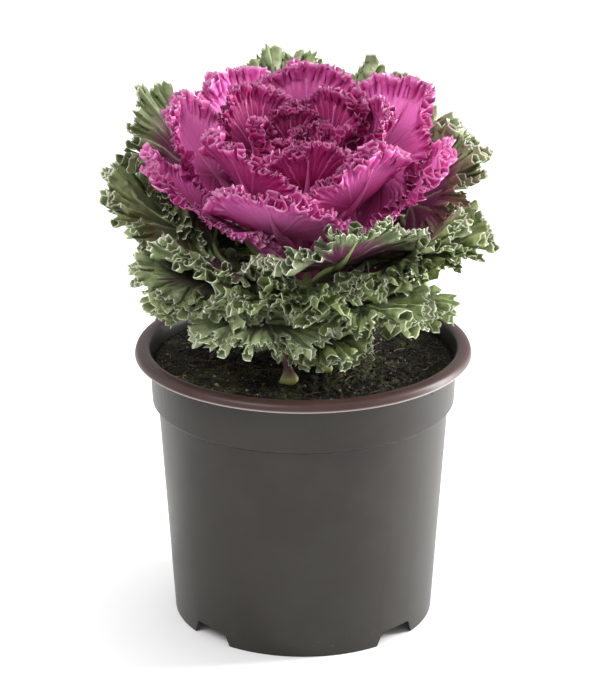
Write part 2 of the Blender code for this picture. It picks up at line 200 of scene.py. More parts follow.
# Petiole and midrib under the blade: shares of the fan or of the neck, half width and depth
STALK_SIDES = 10
STALK_ROWS = 26
MIDRIB_SHORT_OF_MARGIN = 0.25
STALK_TAPERS_FROM = 0.6
STALK_SINKS_FROM = 0.8
STALK_SINKS_BY = 0.55
STALK_DEPTH = 2.6 * MM
MIDRIB_HALF_WIDTH = 0.5 * MM
MIDRIB_DEPTH = 0.35 * MM

# Grid of a blade: fine columns for each margin step, and bands of rows from the fan's middle
# to its margin, as (from, to, rows, fine columns between two columns that are used)
FINE_PER_STEP = 28
BANDS = (
    (0.04, 0.30, 5, 16),
    (0.30, 0.55, 7, 8),
    (0.55, 0.80, 10, 4),
    (0.80, 0.92, 7, 2),
    (0.92, 1.00, 6, 1),
)
RINGS = np.concatenate(
    [np.linspace(low, high, rows, endpoint=False) for low, high, rows, _ in BANDS] + [[1.0]]
)
ROW_GAPS = [gap for _, _, rows, gap in BANDS for _ in range(rows)] + [BANDS[-1][3]]

# Pieces that the leaves are grouped in, as (name, first leaf, leaf after the last)
GREEN_GROUPS = (
    ("green_leaves_low", 0, 8),
    ("green_leaves_middle", 8, 16),
    ("green_leaves_high", 16, GREEN_LEAVES),
)
HEART_GROUPS = (
    ("heart_leaves_outer", GREEN_LEAVES, 32),
    ("heart_leaves_inner", 32, LEAVES),
)

# Stem of the scene, which goes on down into the soil
STEM_FOOT = -24.0 * MM
STEM_SIDES = 48
STEM_ROWS = 70
STEM_ROUNDING = 4.0 * MM
STEM_TIP_SHARE = 0.02
SCAR_DEPTH = 0.8 * MM
SCARS_ROUND = 1.6
SCARS_ALONG = 190.0

# Old petioles that end on the soil, as (foot, knee, top, radius) in millimetres
STUBS = (
    ((-7.0, -38.0, 149.0), (-8.5, -37.0, 160.0), (-12.0, -27.0, 176.0), 3.9),
    ((12.0, -19.0, 149.0), (13.0, -19.0, 158.0), (9.0, -10.0, 172.0), 3.4),
)
STUB_ROWS = 20
STUB_SIDES = 20
STUB_FLATNESS = 0.8
STUB_RIDGES = 5
STUB_RIDGE_HEIGHT = 0.10
STUB_PURPLE_FROM = (154.0 * MM, 161.0 * MM)

# Soil: its radius and grid, its rise and fall as (noise scale, place in the noise, height),
# and the rings of its side and underside as (radius, height)
SOIL_RADIUS = 84.2 * MM
SOIL_CELLS = 180
SOIL_HUMPS = (28.0, 0.0, 1.6 * MM)
SOIL_LUMPS = (130.0, 4.0, 2.4 * MM)
SOIL_CRUMBS = (420.0, 8.0, 1.8 * MM)
SOIL_SINKS = 1.4 * MM
SOIL_EDGE = (0.93, 1.0)
SOIL_EDGE_RISE = 0.4
SOIL_SIDE = (
    (82.2 * MM, STEP_HEIGHT + 1.0 * MM),
    (79.5 * MM, STEP_HEIGHT),
    (72.6 * MM, 12.0 * MM),
)

# Loose grains and fibres on the soil. Sizes are in millimetres, and a grain's are powers of ten.
LOOSE_REACH = 0.975
LOOSE_LEAST = 0.02
LOOSE_SUNK = 0.9
CRUMB_POWERS = (-0.55, 0.12)
CRUMB_STRETCH = ((0.6, 1.5), (0.6, 1.2), (0.4, 0.8))
CRUMB_ROUGHNESS = (0.8, 1.2)
CRUMB_PALE_POWER = 6
FIBRE_LENGTH = (4.0, 13.0)
FIBRE_THICKNESS = (0.10, 0.26)
FIBRE_BEND = 1.6
FIBRE_RISE = (-0.15, 0.25)
FIBRE_ABOVE = 0.5 * MM
FIBRE_TONE = (0.3, 1.0)
FIBRE_STEPS = 6
FIBRE_SIDES = 3

# Grain of the materials, as noise scale, detail and roughness
VEIN_WOBBLE = (6.0, 2.0, 0.5)
LEAF_SHEEN = (150.0, 2.0, 0.5)
GREEN_MOTTLE = (90.0, 4.0, 0.6)
GREEN_FINE = (420.0, 3.0, 0.6)
HEART_MOTTLE = (70.0, 3.0, 0.55)
HEART_FINE = (400.0, 3.0, 0.6)
STEM_PATCH = (70.0, 4.0, 0.6)
STEM_FINE = (400.0, 3.0, 0.6)
STUB_PATCH = (160.0, 3.0, 0.6)
POT_BLOTCH = (28.0, 4.0, 0.6)
POT_FINE = (900.0, 2.0, 0.6)
POT_RINGS = (3.0, 2.0, 0.5)
POT_RING_STRETCH = (6.0, 6.0, 260.0)
POT_DUST = (260.0, 5.0, 0.7)
SOIL_COARSE = (120.0, 5.0, 0.7)
SOIL_FINE = (700.0, 4.0, 0.7)
SOIL_GRIT_AND_GLINT = (1300.0, 2.0, 0.6)
SOIL_MOSS = (38.0, 4.0, 0.6)
CRUMB_FINE = (900.0, 3.0, 0.6)

# Veins fan out from the middle of the blade and fork: (number of forks, how much they wander)
MAIN_VEINS = (1.0, 3.0)
SMALL_VEINS = (3.0, 6.0)
MAIN_VEIN_WIDTH = (0.004, 0.022)
SMALL_VEIN_WIDTH = (0.003, 0.014)
SMALL_VEINS_FROM = (0.35, 0.6)
VEIN_WANDER = 0.25
STALK_RING = -1.0

# Stage: lights as (name, place, target, size, power)
LIGHTS = (
    ("key", (-0.9, -1.0, 1.7), (0, 0, 0.2), (0.9, 0.9), 22),
    ("top", (0.2, 0.3, 1.9), (0, 0, 0.2), (1.2, 1.2), 14),
    ("right strip", (1.2, 0.25, 0.5), (0, 0, 0.12), (0.4, 1.0), 38),
    ("left strip", (-1.2, 0.35, 0.5), (0, 0, 0.12), (0.3, 1.0), 1),
)
FLOOR_SIZE = 12.0
CAMERA_ASIDE = -1.854 * MM


def smooth(x):
    x = np.clip(x, 0.0, 1.0)
    return x * x * (3 - 2 * x)


def rising(share, start, end=1.0):
    """A smooth rise from 0 at one share to 1 at another."""
    return smooth((share - start) / (end - start))


def leaned(x, y, height):
    """Points of the head's own frame, carried to the pot's frame as the head leans."""
    angle = LEAN * smooth(height / LEAN_FULL_AT)
    above = height - LEAN_PIVOT
    return np.stack(
        (
            HEAD_X + x,
            HEAD_Y + y * np.cos(angle) - above * np.sin(angle),
            SOIL_TOP + LEAN_PIVOT + y * np.sin(angle) + above * np.cos(angle),
        ),
        axis=-1,
    )


def stem_radius(height):
    share = min(max(height / STEM_SHOULDER, 0.0), 1.0)
    return STEM_RADIUS_LOW + (STEM_RADIUS_HIGH - STEM_RADIUS_LOW) * share


def bowl(share):
    """The bowl's own row of sizes at a share of the way from the lowest to the innermost."""
    after = next(i for i, row in enumerate(BOWLS) if row[0] >= share)
    before = max(after - 1, 0)
    low, high = BOWLS[before], BOWLS[after]
    part = (share - low[0]) / (high[0] - low[0]) if after else 0.0
    row = [a + (b - a) * part for a, b in zip(low, high)]
    for i in BOWL_LENGTHS:
        row[i] *= MM
    for i in BOWL_ANGLES:
        row[i] = math.radians(row[i])
    return row


def wander(count, step, draw):
    """A smooth random line through the columns, between about -1 and 1, a new value each step."""
    knots = max(int(count / step) + 2, 3)
    values = np.array([draw.uniform(-1.0, 1.0) for _ in range(knots)])
    place = np.linspace(0, knots - 1.001, count)
    low = place.astype(int)
    part = smooth(place - low)
    return values[low] * (1 - part) + values[low + 1] * part


def frame_of(points):
    """Unit vectors along the rows, towards the margin and off the surface, at each point."""
    along = np.gradient(points, axis=1)
    outward = np.gradient(points, axis=0)
    along /= np.linalg.norm(along, axis=2, keepdims=True) + 1e-12
    outward -= along * (outward * along).sum(axis=2, keepdims=True)
    outward /= np.linalg.norm(outward, axis=2, keepdims=True) + 1e-12
    off = np.cross(along, outward)
    return along, outward, off


def margin_run(points):
    """The distance along the margin up to each of its points."""
    steps = np.linalg.norm(np.diff(points[-1], axis=0), axis=1)
    return np.concatenate(((0.0,), np.cumsum(steps)))


def add_object(name, data):
    made = bpy.data.objects.new(name, data)
    bpy.context.scene.collection.objects.link(made)
    return made


def tube_faces(rows, sides, start=0):
    """The four-sided faces between the rings of a tube, whose points start at a number."""
    faces = []
    for row in range(rows):
        for side in range(sides):
            a = start + row * sides + side
            b = start + row * sides + (side + 1) % sides
            faces.append((a, b, b + sides, a + sides))
    return faces


class Leaf:
    """One leaf: the curve of its midrib, its fan, and the fine points of its surface."""

    def __init__(self, number):
        self.azimuth = FRONT_RIGHT_AZIMUTH + GOLDEN_ANGLE * (number - FRONT_RIGHT_LEAF)
        self.share = number / (LEAVES - 1)
        (_, base, rise, reach, top, end_rise, fan, width, petiole, frill, steps) = bowl(self.share)
        draw = random.Random(SEED * 1000 + number)
        self.fan = fan * draw.uniform(*FAN_DRAW)
        self.width = width * draw.uniform(*FAN_DRAW)
        self.petiole = petiole
        self.steps = MARGIN_STEP_UNIT * round(steps / MARGIN_STEP_UNIT)
        self.crests = [frill * draw.uniform(*CREST_DRAW) for _ in range(self.steps + 1)]
        self.reaches = [draw.uniform(*MARGIN_DRAW) for _ in range(self.steps + 1)]
        green = number < GREEN_LEAVES
        self.roll = draw.uniform(-1.0, 1.0) * (GREEN_ROLL if green else HEART_ROLL)
        self.behind = max(math.sin(self.azimuth), 0.0)
        if green:
            top = min(top + BACK_RISE * self.behind, GREEN_TOP_LIMIT)
            top *= draw.uniform(*TOP_DRAW)
        self.midrib = self.curve(base, rise, reach, top, end_rise)
        self.length = self.midrib[-1][0]
        self.neck = self.length - self.fan
        self.draw = random.Random(SEED * 2000 + number)

    def curve(self, base, rise, reach, top, end_rise):
        """Points of the midrib as rows of distance along it, radius, height and slope."""
        start = np.array((stem_radius(base) - ROOT_SUNK, base))
        end = np.array((reach, top))
        handle = MIDRIB_HANDLE * np.linalg.norm(end - start)
        first = start + handle * np.array((math.cos(rise), math.sin(rise)))
        second = end - handle * np.array((math.cos(end_rise), math.sin(end_rise)))
        a = np.linspace(0, 1, PROFILE_STEPS + 1)[:, None]
        b = 1 - a
        points = b**3 * start + 3 * b * b * a * first + 3 * b * a * a * second + a**3 * end
        turns = np.diff(points, axis=0)
        along = np.concatenate(((0.0,), np.cumsum(np.linalg.norm(turns, axis=1))))
        slopes = np.arctan2(turns[:, 1], turns[:, 0])
        return np.column_stack((along, points, np.append(slopes, slopes[-1])))

    def point(self, along, across, lift):
        """The surface points that far along and across the leaf, lifted to its upper side."""
        radius, height, slope = (
            np.interp(along, self.midrib[:, 0], self.midrib[:, i]) for i in (1, 2, 3)
        )
        past = np.maximum(along - self.length, 0.0)
        radius = radius + past * np.cos(self.midrib[-1][3])
        height = height + past * np.sin(self.midrib[-1][3])
        turn = self.azimuth + across / radius
        radius = radius - lift * np.sin(slope)
        height = height + lift * np.cos(slope)
        return leaned(radius * np.cos(turn), radius * np.sin(turn), height)

    def fan_radius(self, angle):
        side = np.sin(angle) ** 2
        return self.fan * (1 - side + side * self.width)

    def surface(self, look):
        """The blade's grid of points and of flat places, with its folds, frills and teeth."""
        count = (self.steps + 2 * look.more_steps) * FINE_PER_STEP + 1
        column = np.linspace(-look.more_steps, self.steps + look.more_steps, count)
        angle = FAN_HALF_ANGLE * look.spread * (2 * column / self.steps - 1)
        ring = RINGS[:, None]
        upright = look.upright * rising(self.share, *UPRIGHT_SHARES)
        reach = self.fan_radius(angle) * ring * self.outline(look, column, ring, upright)
        forward, across = reach * np.cos(angle), reach * np.sin(angle)
        crest = np.interp(column, range(self.steps + 1), self.crests) * look.fold * (1 - upright)
        fade = rising(ring, look.fold_from) ** FRILL_POWER
        fold = crest * np.cos(math.pi * column) * fade
        lift = fold + self.relief(look, angle, ring, across)
        points = self.point(self.neck + forward, across, lift)
        bulge = look.overhang * crest * np.sin(2 * math.pi * column) * fade
        points = points + frame_of(points)[0] * bulge[..., None]
        finer = FINE_LEAST + (1 - FINE_LEAST) * self.fan / FINE_FULL_FAN
        finer *= 1 - UPRIGHT_FINER * upright
        for length, height, start, over in look.frills:
            points = self.frilled(points, length * finer, height, start, over)
        for width, height, start in look.teeth:
            points = self.toothed(points, width, height, start)
        flat = np.stack((across, forward, np.broadcast_to(ring, reach.shape)), axis=-1)
        return points, flat

    def outline(self, look, column, ring, upright):
        """The fan's reach over its radius: the margin's steps, its lobes and its notches."""
        lobes = look.lobe * wander(len(column), FINE_PER_STEP * LOBE_STEPS, self.draw)
        cuts = np.abs(np.cos(math.pi * column)) ** NOTCH_POWER - NOTCH_MIDDLE
        notches = look.notch * (1 - upright) * cuts
        notches *= 1 + NOTCH_VARIES * wander(len(column), FINE_PER_STEP * NOTCH_STEPS, self.draw)
        margin = np.interp(column, range(self.steps + 1), self.reaches)
        return 1 + (margin - 1 + lobes + notches) * rising(ring, OUTLINE_FROM)

    def relief(self, look, angle, ring, across):
        """The blade's height apart from its folds: pleats, roll, swells, droop and bent margin."""
        pleat = look.pleat * (np.abs(np.sin(angle * look.ribs)) ** PLEAT_POWER - PLEAT_MIDDLE)
        pleat = pleat * rising(ring, *PLEAT_RISE) * (1 - rising(ring, *PLEAT_FADE))
        swell = look.swell * wander(len(angle), FINE_PER_STEP * SWELL_STEPS, self.draw)
        droop = look.droop * self.draw.uniform(*DROOP_DRAW) * across**2 / self.fan
        recurve = look.recurve * self.fan * (RECURVE_IN_FRONT + self.behind)
        recurve = recurve * rising(ring, RECURVE_FROM) ** RECURVE_POWER
        roll = self.roll * across * smooth(ring)
        return pleat + roll + swell * rising(ring, SWELL_FROM) - droop - recurve

    def frilled(self, points, length, height, start, over):
        """The grid with one more family of waves, laid along its own length and normals."""
        tangent, _, off = frame_of(points)
        run = margin_run(points)
        count = len(run)
        wave = length / (run[-1] / count)
        drift = wander(count, wave * WAVES_PER_DRIFT, self.draw) * WAVE_DRIFT
        phase = 2 * math.pi * run / length + drift
        size = WAVE_SIZE + WAVE_SIZE_VARIES * wander(count, wave * WAVES_PER_SIZE, self.draw)
        size = height * size * rising(RINGS, start)[:, None] ** WAVE_FADE_POWER
        out = size * np.cos(phase)
        side = over * size * np.sin(2 * phase)
        return points + off * out[..., None] + tangent * side[..., None]

    def toothed(self, points, width, height, start):
        """The grid with its last rows drawn out into teeth of one width."""
        outward = frame_of(points)[1]
        run = margin_run(points)
        count = len(run)
        tooth = width / (run[-1] / count)
        phase = run / width + wander(count, tooth * TEETH_PER_DRIFT, self.draw) * TOOTH_DRIFT
        saw = 1 - np.abs(2 * (phase - np.floor(phase)) - 1)
        size = TOOTH_SIZE + TOOTH_SIZE_VARIES * wander(count, tooth * TEETH_PER_SIZE, self.draw)
        grow = height * size * (saw**TOOTH_POWER - TOOTH_MIDDLE) * rising(RINGS, start)[:, None]
        return points + outward * grow[..., None]


class Look(NamedTuple):
    """The frill of one kind of leaf. Shares are shares of the fan's radius."""

    more_steps: int  # margin steps that the fan goes on for at each side
    spread: float  # how much wider the fan opens than the solid's
    fold: float  # height of the folds over the solid's
    fold_from: float  # share where the folds begin
    lobe: float  # how far the lobes stand out, as a share
    notch: float  # how deep the notches between folds are, as a share
    swell: float  # height of the slow swells along the margin
    droop: float  # how far the sides hang, as a share
    recurve: float  # how far the margin bends back, as a share
    upright: float  # how much calmer and finer the upright leaves are
    overhang: float  # sideways bulge of a fold over its height
    ribs: float  # pleats: radians of their wave for each radian of the fan
    pleat: float  # height of the pleats
    frills: tuple  # waves, as (length, height, share where they begin, overhang)
    teeth: tuple  # teeth, as (width, height, share where they begin)


GREEN_LOOK = Look(
    more_steps=2,
    spread=1.06,
    fold=1.05,
    fold_from=0.35,
    lobe=0.12,
    notch=0.12,
    swell=5.0 * MM,
    droop=0.10,
    recurve=0.15,
    upright=0.35,
    overhang=0.36,
    ribs=6.0,
    pleat=0.6 * MM,
    frills=((10.5 * MM, 4.6 * MM, 0.30, 0.34), (4.6 * MM, 1.2 * MM, 0.60, 0.36)),
    teeth=((7.6 * MM, 3.3 * MM, 0.74), (3.2 * MM, 2.0 * MM, 0.90)),
)
HEART_LOOK = Look(
    more_steps=0,
    spread=1.24,
    fold=0.50,
    fold_from=0.62,
    lobe=0.07,
    notch=0.04,
    swell=3.0 * MM,
    droop=0.05,
    recurve=0.05,
    upright=0.0,
    overhang=0.40,
    ribs=6.0,
    pleat=0.15 * MM,
    frills=((6.2 * MM, 4.2 * MM, 0.58, 0.62), (2.9 * MM, 1.6 * MM, 0.72, 0.55)),
    teeth=((4.6 * MM, 2.6 * MM, 0.80), (2.1 * MM, 1.8 * MM, 0.90)),
)


def blade_mesh(points, flat):
    """Points, flat places and triangles, with twice the columns where a row needs them."""
    rows, flats, numbers, total = [], [], [], 0
    for row, gap in enumerate(ROW_GAPS):
        rows.append(points[row][::gap])
        flats.append(flat[row][::gap])
        numbers.append(np.arange(total, total + len(rows[-1])))
        total += len(rows[-1])
    triangles = []
    for low, high in zip(numbers, numbers[1:]):
        a, b = low[:-1], low[1:]
        if len(low) == len(high):
            c, d = high[1:], high[:-1]
            corners = ((a, b, c), (a, c, d))
        else:
            c, d, e = high[2::2], high[1:-1:2], high[:-2:2]
            corners = ((a, d, e), (a, b, d), (b, c, d))
        triangles.extend(np.column_stack(three) for three in corners)
    return np.concatenate(rows), np.concatenate(flats), np.concatenate(triangles)


def stalk_mesh(leaf):
    """The petiole and the midrib under the blade, as one tapering closed tube."""
    neck = leaf.neck
    end = leaf.length - leaf.fan * MIDRIB_SHORT_OF_MARGIN
    points, flats = [], []
    for row in range(STALK_ROWS):
        along = end * row / (STALK_ROWS - 1)
        taper = rising(along, neck * STALK_TAPERS_FROM, end)
        half = leaf.petiole * (1 - taper) + MIDRIB_HALF_WIDTH * taper
        deep = STALK_DEPTH * (1 - taper) + MIDRIB_DEPTH * taper
        drop = deep * STALK_SINKS_BY * rising(along, neck * STALK_SINKS_FROM, neck)
        for side in range(STALK_SIDES):
            turn = math.tau * side / STALK_SIDES
            points.append((along, half * math.cos(turn), deep * math.sin(turn) - drop))
            flats.append((half * math.cos(turn), along - neck, STALK_RING))
    triangles = []
    for a, b, c, d in tube_faces(STALK_ROWS - 1, STALK_SIDES):
        triangles.extend(((a, b, c), (a, c, d)))
    last = (STALK_ROWS - 1) * STALK_SIDES
    for side in range(1, STALK_SIDES - 1):
        triangles.extend(((0, side + 1, side), (last, last + side, last + side + 1)))
    return leaf.point(*np.array(points).T), np.array(flats), np.array(triangles)


def leaf_group(name, numbers, look, skin):
    """One object of several leaves, with the attributes that their material reads."""
    places, flats, tones, triangles, total = [], [], [], [], 0
    for number in numbers:
        leaf = Leaf(number)
        blade = blade_mesh(*leaf.surface(look))
        tone = leaf.draw.random()
        for part_points, part_flat, part_triangles in (blade, stalk_mesh(leaf)):
            places.append(part_points)
            flats.append(part_flat / np.array((leaf.fan, leaf.fan, 1.0)))
            tones.append(np.tile((tone, leaf.share, leaf.draw.random()), (len(part_points), 1)))
            triangles.append(part_triangles + total)
            total += len(part_points)
    mesh = bpy.data.meshes.new(name)
    mesh.from_pydata(np.concatenate(places), [], np.concatenate(triangles).tolist())
    for label, values in (("blade", flats), ("tone", tones)):
        attribute = mesh.attributes.new(label, "FLOAT_VECTOR", "POINT")
        attribute.data.foreach_set("vector", np.concatenate(values).astype(np.float32).ravel())
    mesh.materials.append(skin)
    mesh.shade_smooth()
    return add_object(name, mesh)


class Wire:
    """A shader socket that can be used in sums: each operation adds its Math node."""

    def __init__(self, net, socket):
        self.net = net
        self.socket = socket

    def math(self, operation, *others):
        return self.net.node("ShaderNodeMath", {"operation": operation}, (self, *others))

    def __add__(self, other):
        return self.math("ADD", other)

    def __radd__(self, other):
        return self.math("ADD", other)

    def __sub__(self, other):
        return self.math("SUBTRACT", other)

    def __rsub__(self, other):
        return self.net.node("ShaderNodeMath", {"operation": "SUBTRACT"}, (other, self))

    def __mul__(self, other):
        return self.math("MULTIPLY", other)

    def __rmul__(self, other):
        return self.math("MULTIPLY", other)

    def __truediv__(self, other):
        return self.math("DIVIDE", other)

    def __pow__(self, other):
        return self.math("POWER", other)

    def abs(self):
        return self.math("ABSOLUTE")

    def clamped(self):
        return self.net.node("ShaderNodeClamp", {}, (self, 0.0, 1.0))

    def between(self, low, high):
        """A smooth step: 0 below low, 1 above high."""
        settings = {"interpolation_type": "SMOOTHSTEP"}
        inputs = {"Value": self, "From Min": low, "From Max": high}
        return self.net.node("ShaderNodeMapRange", settings, inputs)

    def part(self, axis):
        return self.net.node("ShaderNodeSeparateXYZ", {}, (self,), axis)


class Net:
    """A material and its node tree."""

    def __init__(self, name):
        self.material = bpy.data.materials.new(name)
        self.material.use_nodes = True
        self.tree = self.material.node_tree
        self.shader = self.tree.nodes["Principled BSDF"]

    def node(self, kind, settings=None, inputs=(), output=0):
        """A node of any kind, with its settings first and then its inputs' values or links."""
        made = self.tree.nodes.new(kind)
        for name, value in (settings or {}).items():
            setattr(made, name, value)
        pairs = inputs.items() if isinstance(inputs, dict) else enumerate(inputs)
        for key, value in pairs:
            self.feed(made.inputs[key], value)
        return Wire(self, made.outputs[output])

    def feed(self, socket, value):
        if isinstance(value, Wire):
            self.tree.links.new(value.socket, socket)
        elif socket.type == "RGBA" and len(value) == 3:
            socket.default_value = (*value, 1.0)
        else:
            socket.default_value = value

    def mix(self, share, first, second):
        """Two colours mixed by a share."""
        inputs = {0: share, 6: first, 7: second}
        return self.node("ShaderNodeMix", {"data_type": "RGBA"}, inputs, 2)

    def noise(self, place, scale, detail, roughness):
        inputs = {"Vector": place, "Scale": scale, "Detail": detail, "Roughness": roughness}
        return self.node("ShaderNodeTexNoise", {}, inputs)

    def bump(self, height, strength, distance):
        inputs = {"Height": height, "Strength": strength, "Distance": distance}
        return self.node("ShaderNodeBump", {}, inputs)

    def place(self):
        return self.node("ShaderNodeTexCoord", {}, (), "Object")

    def attribute(self, name):
        return self.node("ShaderNodeAttribute", {"attribute_name": name}, (), "Vector")

    def finish(self, colour=None, roughness=None, normal=None, **constants):
        """Feeds the shader, and sets its constant sockets."""
        for name, value in (("Base Color", colour), ("Roughness", roughness), ("Normal", normal)):
            if value is not None:
                self.feed(self.shader.inputs[name], value)
        for name, value in constants.items():
            self.shader.inputs[name.replace("_", " ")].default_value = value
        return self.material


def leaf_veins(net, flat, count):
    """How near a point of the blade is to a main vein and to a small one: 1 on it, 0 between."""
    x, y = flat.part(0), flat.part(1)
    angle = x.math("ARCTAN2", y)
    reach = (x * x + y * y) ** 0.5
    wobble = (net.noise(flat, *VEIN_WOBBLE) - 0.5) * VEIN_WANDER
    off_main, off_small = (
        ((angle * (count * forks) + wobble * bend).math("SINE").abs() * reach) / (count * forks)
        for forks, bend in (MAIN_VEINS, SMALL_VEINS)
    )
    main = 1 - off_main.between(*MAIN_VEIN_WIDTH)
    small = (1 - off_small.between(*SMALL_VEIN_WIDTH)) * reach.between(*SMALL_VEINS_FROM)
    return main, small


def green_skin(colours):
    net = Net("green leaf skin")
    flat, tone, place = net.attribute("blade"), net.attribute("tone"), net.place()
    main, small = leaf_veins(net, flat, 6.0)
    ring, own, share, purpled = flat.part(2), tone.part(0), tone.part(1), tone.part(2)
    mottle = net.noise(place, *GREEN_MOTTLE)
    fine = net.noise(place, *GREEN_FINE)
    # Painted light and shade: random patches of the shaded green and the lit green.
    blade = net.mix(mottle.between(0.35, 0.68), colours.dark, colours.lit_green)
    blade = net.mix(own.between(0.35, 1.0) * 0.55, blade, colours.grey)
    # Painted shade: the higher green leaves get more of the shaded green.
    blade = net.mix(share.between(0.28, 0.46) * 0.7, blade, colours.dark)
    # Painted shade: the blade inside the frills, where the gaps lie in shadow, is darkened to the
    # deep green, and on some leaves partly to their own purple.
    inner = 1 - ring.between(0.35, 0.90)
    blade = net.mix(inner * 0.75, blade, colours.deep)
    blade = net.mix(inner * purpled.between(0.3, 0.9) * 0.6, blade, colours.purple)
    young = (1 - ring.between(0.45, 0.85)) * share.between(0.36, 0.48)
    blade = net.mix(young * 0.85, blade, colours.young)
    veins = (main * 0.5 + small * 0.3).clamped() * (1 - ring.between(0.75, 0.95))
    blade = net.mix(veins, blade, colours.vein)
    edge = (ring.between(0.972, 0.995) * (fine * 0.5 + 0.75)).clamped()
    blade = net.mix(edge * 0.85, blade, colours.edge)
    stalk = net.mix(purpled.between(0.35, 0.7), colours.stalk, colours.purple)
    blade = net.mix(ring.math("LESS_THAN", STALK_RING / 2), blade, stalk)
    relief = main * -0.6 + small * -0.3 + mottle * 0.5 + fine * 0.25
    return net.finish(
        colour=blade,
        roughness=net.noise(place, *LEAF_SHEEN) * 0.15 + 0.46,
        normal=net.bump(relief, 0.55, 0.7 * MM),
        Subsurface_Weight=0.12,
        Subsurface_Radius=(0.004, 0.006, 0.002),
        Subsurface_Scale=0.5,
        Specular_IOR_Level=0.42,
    )


def heart_skin(colours):
    net = Net("magenta leaf skin")
    flat, tone, place = net.attribute("blade"), net.attribute("tone"), net.place()
    main, small = leaf_veins(net, flat, 7.0)
    ring, share = flat.part(2), tone.part(1)
    mottle = net.noise(place, *HEART_MOTTLE)
    fine = net.noise(place, *HEART_FINE)
    inner = share.between(0.58, 0.95)
    # Painted light: random lit patches of light magenta over the magenta.
    blade = net.mix(mottle.between(0.35, 0.7), colours.heart, colours.heart_light)
    blade = net.mix((1 - share.between(0.70, 0.80)) * 0.65, blade, colours.heart_bloom)
    blade = net.mix(inner * 0.85, blade, colours.crimson)
    blade = net.mix((1 - ring.between(0.05, 0.5)) * 0.6, blade, colours.crimson)
    blade = net.mix(ring.between(0.78, 0.9) * 0.5, blade, colours.heart)
    veins = (main * 0.55 + small * 0.35).clamped() * (1 - ring.between(0.8, 0.95))
    blade = net.mix(veins, blade, colours.heart_vein)
    # The pale pink teeth are partly the margin's own colour and partly a painted highlight on the
    # crimped tips.
    edge = (ring.between(0.95, 0.995) * (fine * 0.6 + 0.6)).clamped()
    blade = net.mix(edge * (0.8 - inner * 0.35), blade, colours.heart_edge)
    blade = net.mix(ring.math("LESS_THAN", STALK_RING / 2), blade, colours.heart_vein)
    relief = main * 0.7 + small * 0.35 + mottle * 0.4 + fine * 0.2
    return net.finish(
        colour=blade,
        roughness=net.noise(place, *LEAF_SHEEN) * 0.15 + 0.42,
        normal=net.bump(relief, 0.5, 0.7 * MM),
        Subsurface_Weight=0.15,
        Subsurface_Radius=(0.006, 0.002, 0.004),
        Subsurface_Scale=0.5,
        Specular_IOR_Level=0.45,
    )


def colour_setting(name, description, value):
    return FloatVectorProperty(
        name=name, description=description, default=value, subtype="COLOR", size=3, min=0, max=1
    )


class KALE_PG_leaves(PropertyGroup):
    """Colours of the leaves."""

    # Dark Green and the lit green are the one green as painted shade and painted light.
    dark: colour_setting("Dark Green", "Shaded green of the blade", (0.14, 0.18, 0.08))
    lit_green: colour_setting("Lit Green", "Lit green of the blade", (0.38, 0.46, 0.18))
    grey: colour_setting("Grey Green", "Bloom on the older leaves", (0.36, 0.41, 0.27))
    young: colour_setting("Young Purple", "Middle of the upper green leaves", (0.17, 0.030, 0.10))
    # Deep Green is painted shade inside the frills.
    deep: colour_setting("Deep Green", "Painted shade of the blade inside the frills", (0.028, 0.036, 0.020))
    purple: colour_setting("Purple", "Tint near the midrib", (0.085, 0.030, 0.065))
    vein: colour_setting("Green Vein", "Pale veins of a green leaf", (0.38, 0.45, 0.24))
    edge: colour_setting("Green Edge", "Pale teeth of a green leaf", (0.90, 0.91, 0.76))
    stalk: colour_setting("Stalk", "Petiole of a green leaf", (0.34, 0.42, 0.16))
    stub: colour_setting("Petiole End", "Yellow end of an old petiole", (0.52, 0.55, 0.16))
    stub_purple: colour_setting("Old Petiole", "Upper old petiole", (0.16, 0.06, 0.08))
    heart: colour_setting("Magenta", "Blade of a heart leaf", (0.46, 0.022, 0.21))
    heart_bloom: colour_setting("Pale Magenta", "Bloom on the outer heart", (0.86, 0.20, 0.60))
    heart_light: colour_setting("Light Magenta", "Lit patches of the heart", (0.60, 0.07, 0.32))
    crimson: colour_setting("Crimson", "Deep colour of the inner heart", (0.24, 0.006, 0.065))
    heart_vein: colour_setting("Magenta Vein", "Veins of a heart leaf", (0.66, 0.17, 0.42))
    # Pink Edge is partly the margin's own colour and partly painted highlight.
    heart_edge: colour_setting("Pink Edge", "Pale teeth of a heart leaf", (0.88, 0.43, 0.68))


def wall_radius(height):
    """The tapered wall's outer radius, below the step."""
    return BASE_RADIUS + (WALL_TOP_RADIUS - BASE_RADIUS) * height / STEP_HEIGHT


def rounded(points):
    """A profile of (radius, height, corner) with each corner turned into a short curve."""
    out = [points[0][:2]]
    for before, (radius, height, corner), after in zip(points, points[1:], points[2:]):
        here = np.array((radius, height))
        ends = []
        for other in (before, after):
            way = np.array(other[:2]) - here
            ends.append(here + way * min(corner / np.linalg.norm(way), CORNER_LIMIT))
        for share in np.linspace(0, 1, CORNER_POINTS):
            rest = 1 - share
            spot = rest**2 * ends[0] + 2 * share * rest * here + share**2 * ends[1]
            out.append(tuple(spot))
    out.append(points[-1][:2])
    return out


def raise_rings(profile):
    """Extrudes the selected ring from the profile's start up to its end, and closes it."""
    for (radius, height), (radius_next, height_next) in zip(profile, profile[1:]):
        rise = (0, 0, height_next - height)
        bpy.ops.mesh.extrude_edges_move(TRANSFORM_OT_translate={"value": rise})
        scale = radius_next / radius
        bpy.ops.transform.resize(value=(scale, scale, 1.0), center_override=(0, 0, 0))
    bpy.ops.mesh.edge_face_add()
    bpy.ops.mesh.select_all(action="SELECT")
    bpy.ops.mesh.normals_make_consistent(inside=False)
    bpy.ops.object.mode_set(mode="OBJECT")


